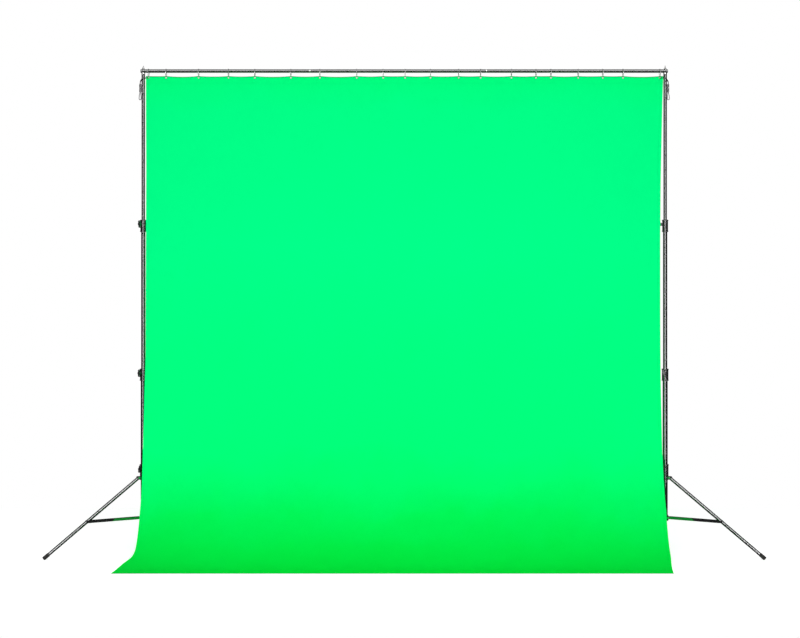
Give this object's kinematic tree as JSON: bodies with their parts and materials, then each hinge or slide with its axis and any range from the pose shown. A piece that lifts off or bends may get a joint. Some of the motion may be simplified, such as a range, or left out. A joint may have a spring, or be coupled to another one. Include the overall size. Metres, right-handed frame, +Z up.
{
  "type": "background support system",
  "caption": "Two folding telescopic light stands with a sectional crossbar and a ringed green backdrop cloth that sweeps onto the floor.",
  "frame": {"origin": "on the floor, at the centre of the whole set-up object's footprint", "axes": "+X to the right seen from the front of the cloth, +Y away from the front to the back of the stands, +Z up"},
  "size_m": [4.001, 1.403, 2.772],
  "materials": {
    "gloss_black_tube": "gloss",
    "black_plastic": "satin",
    "black_rubber": "matte",
    "bright_steel": "polished",
    "white_nylon": "satin",
    "green_cloth": "matte",
    "green_plastic": "satin",
    "black_cord": "matte"
  },
  "bodies": {
    "root": {"left_base_tube": "gloss_black_tube", "right_base_tube": "gloss_black_tube", "left_base_collar": "black_plastic", "right_base_collar": "black_plastic", "left_brace_hub": "black_plastic", "right_brace_hub": "black_plastic", "hub_rivets": "bright_steel", "backdrop_lower": "green_cloth"},
    "lower_stage": {"left_mid_tube": "gloss_black_tube", "right_mid_tube": "gloss_black_tube", "left_mid_collar": "black_plastic", "right_mid_collar": "black_plastic", "mid_guides": "white_nylon"},
    "upper_stage": {"left_top_tube": "gloss_black_tube", "right_top_tube": "gloss_black_tube", "left_spigot": "bright_steel", "right_spigot": "bright_steel", "top_guides": "white_nylon", "tie_cords": "black_cord", "cord_locks": "black_plastic", "left_crossbar_tube": "gloss_black_tube", "middle_crossbar_tube": "gloss_black_tube", "right_crossbar_tube": "gloss_black_tube", "crossbar_joiners": "bright_steel", "crossbar_end_caps": "black_plastic", "curtain_rings": "bright_steel", "eyelets": "green_plastic", "backdrop_upper": "green_cloth"},
    "left_base_knob_body": {"left_base_knob": "black_plastic"},
    "right_base_knob_body": {"right_base_knob": "black_plastic"},
    "left_mid_knob_body": {"left_mid_knob": "black_plastic"},
    "right_mid_knob_body": {"right_mid_knob": "black_plastic"},
    "left_slider": {"left_leg_slider": "black_plastic", "left_leg_rivets": "bright_steel"},
    "left_slider_knob_body": {"left_slider_knob": "black_plastic"},
    "left_outer_leg_body": {"left_outer_leg": "gloss_black_tube", "left_outer_foot": "black_rubber"},
    "left_outer_brace_body": {"left_outer_brace": "gloss_black_tube"},
    "left_inner_leg_body": {"left_inner_leg": "gloss_black_tube", "left_inner_foot": "black_rubber"},
    "left_inner_brace_body": {"left_inner_brace": "gloss_black_tube"},
    "left_rear_leg_body": {"left_rear_leg": "gloss_black_tube", "left_rear_foot": "black_rubber"},
    "left_rear_brace_body": {"left_rear_brace": "gloss_black_tube"},
    "left_lock_button_body": {"left_lock_button": "black_plastic"},
    "left_wing_nut_body": {"left_wing_nut": "bright_steel"},
    "right_slider": {"right_leg_slider": "black_plastic", "right_leg_rivets": "bright_steel"},
    "right_slider_knob_body": {"right_slider_knob": "black_plastic"},
    "right_outer_leg_body": {"right_outer_leg": "gloss_black_tube", "right_outer_foot": "black_rubber"},
    "right_outer_brace_body": {"right_outer_brace": "gloss_black_tube"},
    "right_inner_leg_body": {"right_inner_leg": "gloss_black_tube", "right_inner_foot": "black_rubber"},
    "right_inner_brace_body": {"right_inner_brace": "gloss_black_tube"},
    "right_rear_leg_body": {"right_rear_leg": "gloss_black_tube", "right_rear_foot": "black_rubber"},
    "right_rear_brace_body": {"right_rear_brace": "gloss_black_tube"},
    "right_lock_button_body": {"right_lock_button": "black_plastic"},
    "right_wing_nut_body": {"right_wing_nut": "bright_steel"}
  },
  "joints": [
    {"name": "lower_stage_slide", "type": "slide", "parent": "root", "child": "lower_stage", "axis": [0, 0, 1], "range_m": [-0.72, 0], "deforming": ["backdrop_lower"]},
    {"name": "upper_stage_slide", "type": "slide", "parent": "lower_stage", "child": "upper_stage", "axis": [0, 0, 1], "range_m": [-0.67, 0], "deforming": ["backdrop_upper"]},
    {"name": "left_base_knob_turn", "type": "hinge", "parent": "root", "child": "left_base_knob_body", "pos_m": [-1.50551, 0.08797, 1.024], "axis": [-0.7071, -0.7071, 0], "range_deg": [0, 540]},
    {"name": "right_base_knob_turn", "type": "hinge", "parent": "root", "child": "right_base_knob_body", "pos_m": [1.47508, 0.08123, 1.024], "axis": [-0.342, -0.9397, 0], "range_deg": [0, 540]},
    {"name": "left_mid_knob_turn", "type": "hinge", "parent": "lower_stage", "child": "left_mid_knob_body", "pos_m": [-1.50285, 0.08563, 1.871], "axis": [-0.6157, -0.788, 0], "range_deg": [0, 540]},
    {"name": "right_mid_knob_turn", "type": "hinge", "parent": "lower_stage", "child": "right_mid_knob_body", "pos_m": [1.45644, 0.11352, 1.871], "axis": [-0.9848, 0.1736, 0], "range_deg": [0, 540]},
    {"name": "left_legs_fold", "type": "slide", "parent": "root", "child": "left_slider", "axis": [0, 0, 1], "range_m": [0, 0.46823]},
    {"name": "left_slider_knob_turn", "type": "hinge", "parent": "left_slider", "child": "left_slider_knob_body", "pos_m": [-1.50163, 0.08472, 0.48], "axis": [-0.5736, -0.8192, 0], "range_deg": [0, 540]},
    {"name": "left_outer_leg_swing", "type": "hinge", "parent": "left_slider", "child": "left_outer_leg_body", "pos_m": [-1.51012, 0.09398, 0.429], "axis": [0.5, -0.866, 0], "range_deg": [0, 51.32]},
    {"name": "left_outer_brace_swing", "type": "hinge", "parent": "root", "child": "left_outer_brace_body", "pos_m": [-1.50578, 0.09648, 0.203], "axis": [-0.5, 0.866, 0], "range_deg": [0, 88.13]},
    {"name": "left_inner_leg_swing", "type": "hinge", "parent": "left_slider", "child": "left_inner_leg_body", "pos_m": [-1.45989, 0.09398, 0.429], "axis": [0.5, 0.866, 0], "range_deg": [0, 51.32]},
    {"name": "left_inner_brace_swing", "type": "hinge", "parent": "root", "child": "left_inner_brace_body", "pos_m": [-1.46422, 0.09648, 0.203], "axis": [-0.5, -0.866, 0], "range_deg": [0, 88.13]},
    {"name": "left_rear_leg_swing", "type": "hinge", "parent": "left_slider", "child": "left_rear_leg_body", "pos_m": [-1.485, 0.13748, 0.429], "axis": [-1, 0, 0], "range_deg": [0, 51.32]},
    {"name": "left_rear_brace_swing", "type": "hinge", "parent": "root", "child": "left_rear_brace_body", "pos_m": [-1.485, 0.13248, 0.203], "axis": [1, 0, 0], "range_deg": [0, 88.13]},
    {"name": "left_lock_press", "type": "slide", "parent": "upper_stage", "child": "left_lock_button_body", "axis": [0, 1, 0], "range_m": [0, 0.0022], "stiffness_N_per_m": 150},
    {"name": "left_wing_nut_turn", "type": "hinge", "parent": "upper_stage", "child": "left_wing_nut_body", "pos_m": [-1.485, 0.10848, 2.7569], "axis": [0, 0, 1], "continuous": true},
    {"name": "right_legs_fold", "type": "slide", "parent": "root", "child": "right_slider", "axis": [0, 0, 1], "range_m": [0, 0.46823]},
    {"name": "right_slider_knob_turn", "type": "hinge", "parent": "right_slider", "child": "right_slider_knob_body", "pos_m": [1.46837, 0.08472, 0.48], "axis": [-0.5736, -0.8192, 0], "range_deg": [0, 540]},
    {"name": "right_outer_leg_swing", "type": "hinge", "parent": "right_slider", "child": "right_outer_leg_body", "pos_m": [1.51012, 0.09398, 0.429], "axis": [0.5, 0.866, 0], "range_deg": [0, 51.32]},
    {"name": "right_outer_brace_swing", "type": "hinge", "parent": "root", "child": "right_outer_brace_body", "pos_m": [1.50578, 0.09648, 0.203], "axis": [-0.5, -0.866, 0], "range_deg": [0, 88.13]},
    {"name": "right_inner_leg_swing", "type": "hinge", "parent": "right_slider", "child": "right_inner_leg_body", "pos_m": [1.45989, 0.09398, 0.429], "axis": [0.5, -0.866, 0], "range_deg": [0, 51.32]},
    {"name": "right_inner_brace_swing", "type": "hinge", "parent": "root", "child": "right_inner_brace_body", "pos_m": [1.46422, 0.09648, 0.203], "axis": [-0.5, 0.866, 0], "range_deg": [0, 88.13]},
    {"name": "right_rear_leg_swing", "type": "hinge", "parent": "right_slider", "child": "right_rear_leg_body", "pos_m": [1.485, 0.13748, 0.429], "axis": [-1, 0, 0], "range_deg": [0, 51.32]},
    {"name": "right_rear_brace_swing", "type": "hinge", "parent": "root", "child": "right_rear_brace_body", "pos_m": [1.485, 0.13248, 0.203], "axis": [1, 0, 0], "range_deg": [0, 88.13]},
    {"name": "right_lock_press", "type": "slide", "parent": "upper_stage", "child": "right_lock_button_body", "axis": [0, 1, 0], "range_m": [0, 0.0022], "stiffness_N_per_m": 150},
    {"name": "right_wing_nut_turn", "type": "hinge", "parent": "upper_stage", "child": "right_wing_nut_body", "pos_m": [1.485, 0.10848, 2.7569], "axis": [0, 0, 1], "continuous": true}
  ],
  "couplings": [
    {"joint": "left_outer_leg_swing", "follows": "left_legs_fold", "rad_per_m": 1.9122},
    {"joint": "left_outer_brace_swing", "follows": "left_legs_fold", "rad_per_m": 3.2843},
    {"joint": "left_inner_leg_swing", "follows": "left_legs_fold", "rad_per_m": 1.9122},
    {"joint": "left_inner_brace_swing", "follows": "left_legs_fold", "rad_per_m": 3.2843},
    {"joint": "left_rear_leg_swing", "follows": "left_legs_fold", "rad_per_m": 1.9122},
    {"joint": "left_rear_brace_swing", "follows": "left_legs_fold", "rad_per_m": 3.2843},
    {"joint": "right_outer_leg_swing", "follows": "right_legs_fold", "rad_per_m": 1.9122},
    {"joint": "right_outer_brace_swing", "follows": "right_legs_fold", "rad_per_m": 3.2843},
    {"joint": "right_inner_leg_swing", "follows": "right_legs_fold", "rad_per_m": 1.9122},
    {"joint": "right_inner_brace_swing", "follows": "right_legs_fold", "rad_per_m": 3.2843},
    {"joint": "right_rear_leg_swing", "follows": "right_legs_fold", "rad_per_m": 1.9122},
    {"joint": "right_rear_brace_swing", "follows": "right_legs_fold", "rad_per_m": 3.2843}
  ]
}
